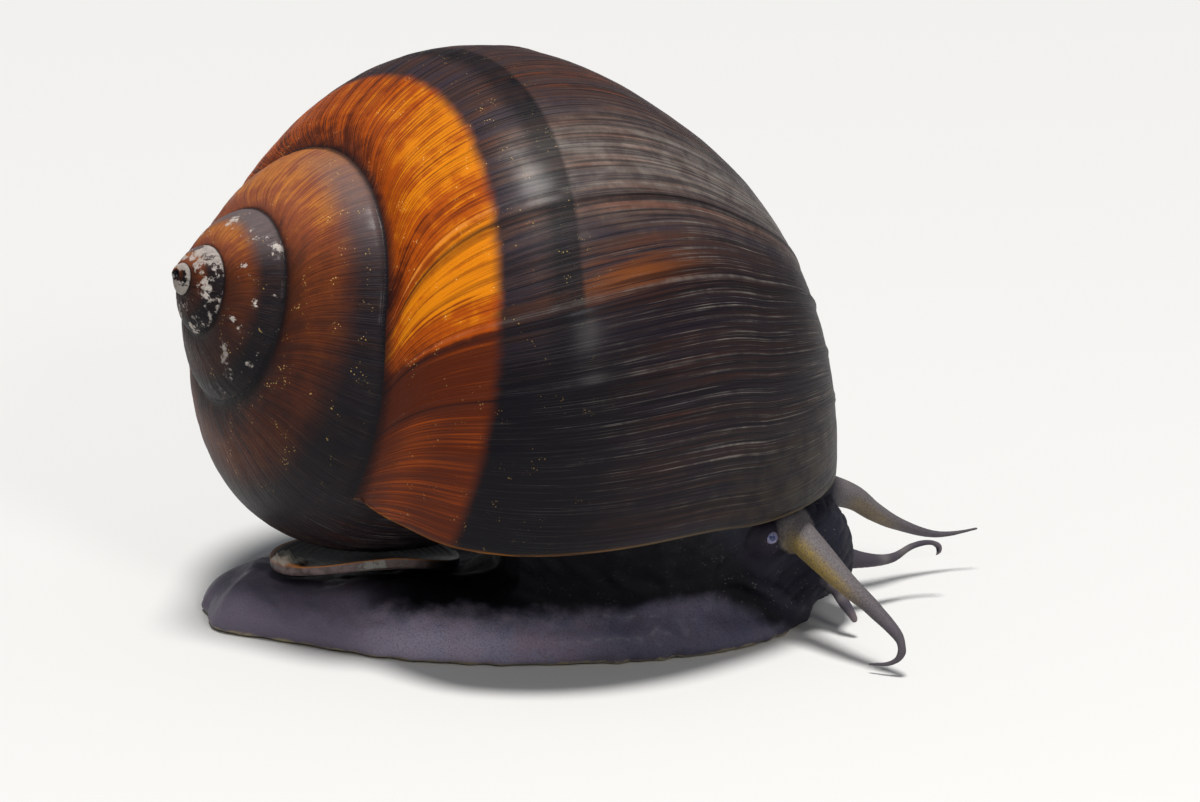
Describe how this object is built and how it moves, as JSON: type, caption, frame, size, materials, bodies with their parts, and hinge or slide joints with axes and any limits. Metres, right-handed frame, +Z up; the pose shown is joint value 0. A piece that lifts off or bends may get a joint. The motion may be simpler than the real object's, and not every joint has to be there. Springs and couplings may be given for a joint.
{
  "type": "apple snail",
  "caption": "Life-size still model of a crawling apple snail: dark globular shell, slate-violet foot, head with feelers and eyes, and the horny plate on its tail.",
  "frame": {"origin": "on the floor, in the middle of the flat sole of the foot", "axes": "+X runs forward from the tail to the head, -Y is the snail's right side, +Z is up from the sole"},
  "size_m": [0.0648, 0.0468, 0.0458],
  "materials": {
    "shell": "dark brown horny skin over the shell with a purple cast, an orange-gold band by the suture, fine growth lines, satin to glossy",
    "operculum": "tan-brown horny plate with growth rings and a grey-white crust",
    "skin": "wet blue-black to slate-violet skin with fine wrinkles and yellow-brown flecks",
    "eye": "clear glossy eye, pale blue-grey ring round a dark blue pupil"
  },
  "bodies": {
    "root": {"shell": "shell", "operculum": "operculum", "mantle": "skin", "trunk": "skin", "neck": "skin", "head": "skin", "snout": "skin", "foot_front": "skin", "foot_middle": "skin", "foot_tail": "skin", "tentacle_right_base": "skin", "tentacle_right_middle": "skin", "tentacle_right_tip": "skin", "palp_right_base": "skin", "palp_right_tip": "skin", "eyestalk_right": "skin", "tentacle_left_base": "skin", "tentacle_left_middle": "skin", "tentacle_left_tip": "skin", "palp_left_base": "skin", "palp_left_tip": "skin", "eyestalk_left": "skin", "eye_right": "eye", "eye_left": "eye"}
  },
  "joints": []
}
